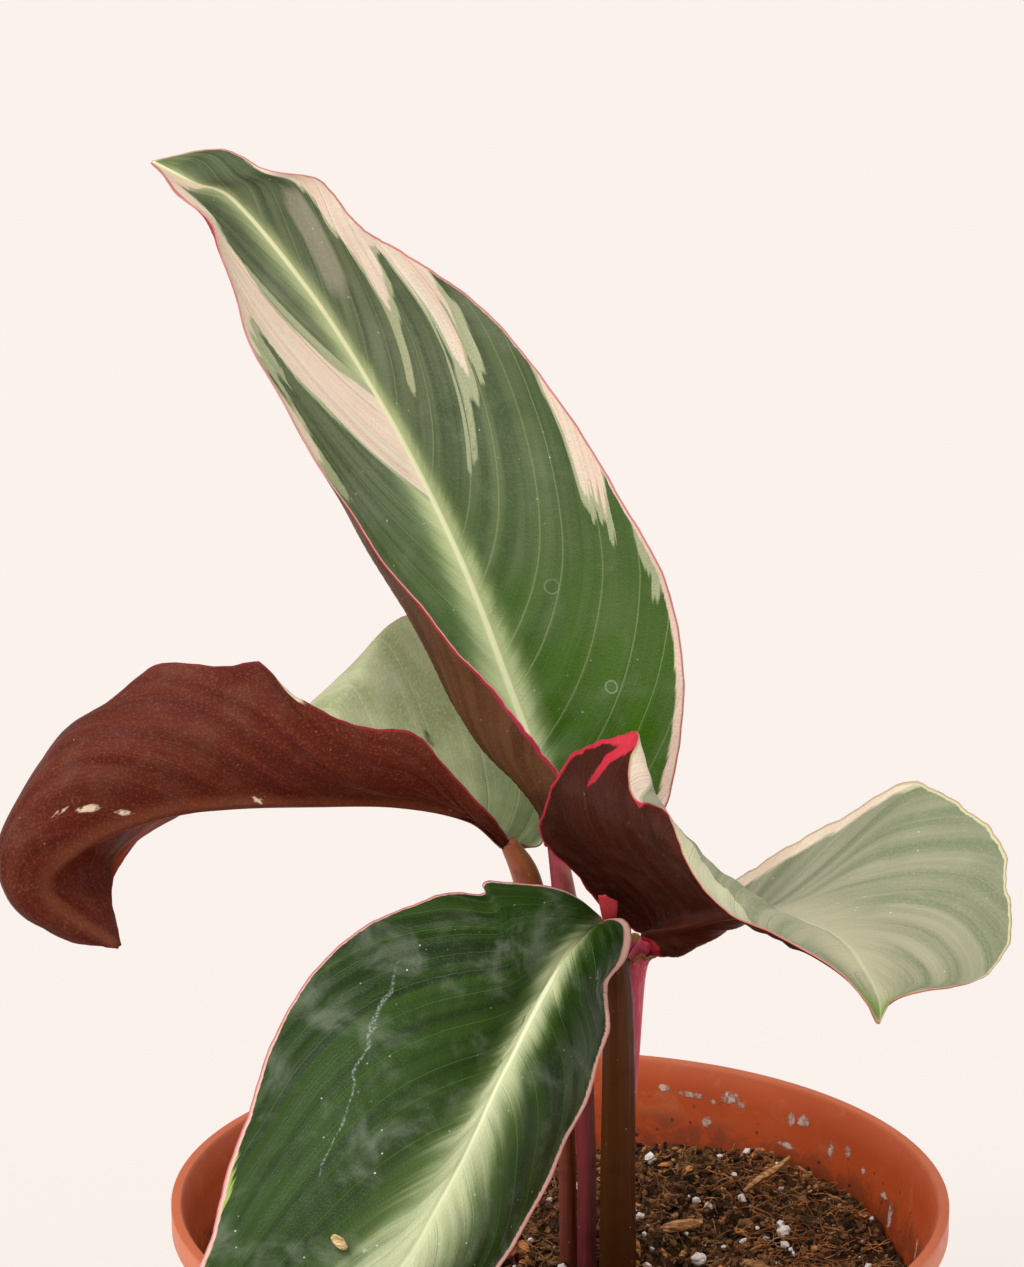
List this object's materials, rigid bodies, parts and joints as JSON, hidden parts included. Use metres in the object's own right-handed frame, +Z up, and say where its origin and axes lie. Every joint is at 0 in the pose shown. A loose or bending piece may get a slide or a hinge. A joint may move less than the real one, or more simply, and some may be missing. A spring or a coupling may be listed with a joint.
{
  "type": "potted prayer plant",
  "caption": "Young variegated prayer plant with long-stalked lance-shaped leaves, rooted in potting mix in a small round tapered nursery pot.",
  "frame": {"origin": "centre of the pot's underside, on the surface that it stands on", "axes": "+Z up through the pot's axis, -Y towards the side that the drooping front leaf and the right-hand leaf point to, +X to the right seen from that side"},
  "size_m": [0.1455, 0.1566, 0.2555],
  "materials": {
    "pot_plastic": "terracotta-orange injection-moulded polypropylene, soft sheen, dull lime film inside the rim",
    "potting_mix": "rough damp peat and coir crumbs, fully matt",
    "leaf_green_and_cream": "waxy green leaf with cream and pink streaks along the side veins, satin",
    "leaf_maroon_underside": "maroon leaf underside with crimson margins, satin",
    "leaf_silver_green": "pale silvery green young leaf with darker streaks and pink margins, satin",
    "leaf_dark_green": "dark green leaf with a pale feathered midrib and a pink-white margin, waxy satin",
    "stalk_brown": "olive-brown leaf stalk, smooth and slightly glossy",
    "stalk_crimson": "crimson leaf stalk, smooth and slightly glossy",
    "stalk_pink": "pinkish leaf stalk, olive-brown on its left side, smooth",
    "sheath_crimson": "thin crimson sheath, smooth, with a dry brown torn edge",
    "bark_chip": "tan bark and wood chips, fibrous and matt",
    "perlite": "white puffed perlite, pitted and matt"
  },
  "bodies": {
    "root": {"pot": "pot_plastic", "potting_mix": "potting_mix", "blade_upright": "leaf_green_and_cream", "blade_left": "leaf_maroon_underside", "blade_right": "leaf_silver_green", "blade_front": "leaf_dark_green", "petiole_front": "stalk_brown", "petiole_upright": "stalk_crimson", "petiole_left": "stalk_pink", "petiole_right": "stalk_crimson", "sheath_right": "sheath_crimson", "young_shoot": "sheath_crimson", "bark_chip_back": "bark_chip", "bark_chip_side": "bark_chip", "bark_chip_near": "bark_chip", "bark_chip_left": "bark_chip", "perlite_grain_1": "perlite", "perlite_grain_2": "perlite", "perlite_grain_3": "perlite", "perlite_grain_4": "perlite", "bark_chip_on_leaf": "bark_chip"}
  },
  "joints": []
}
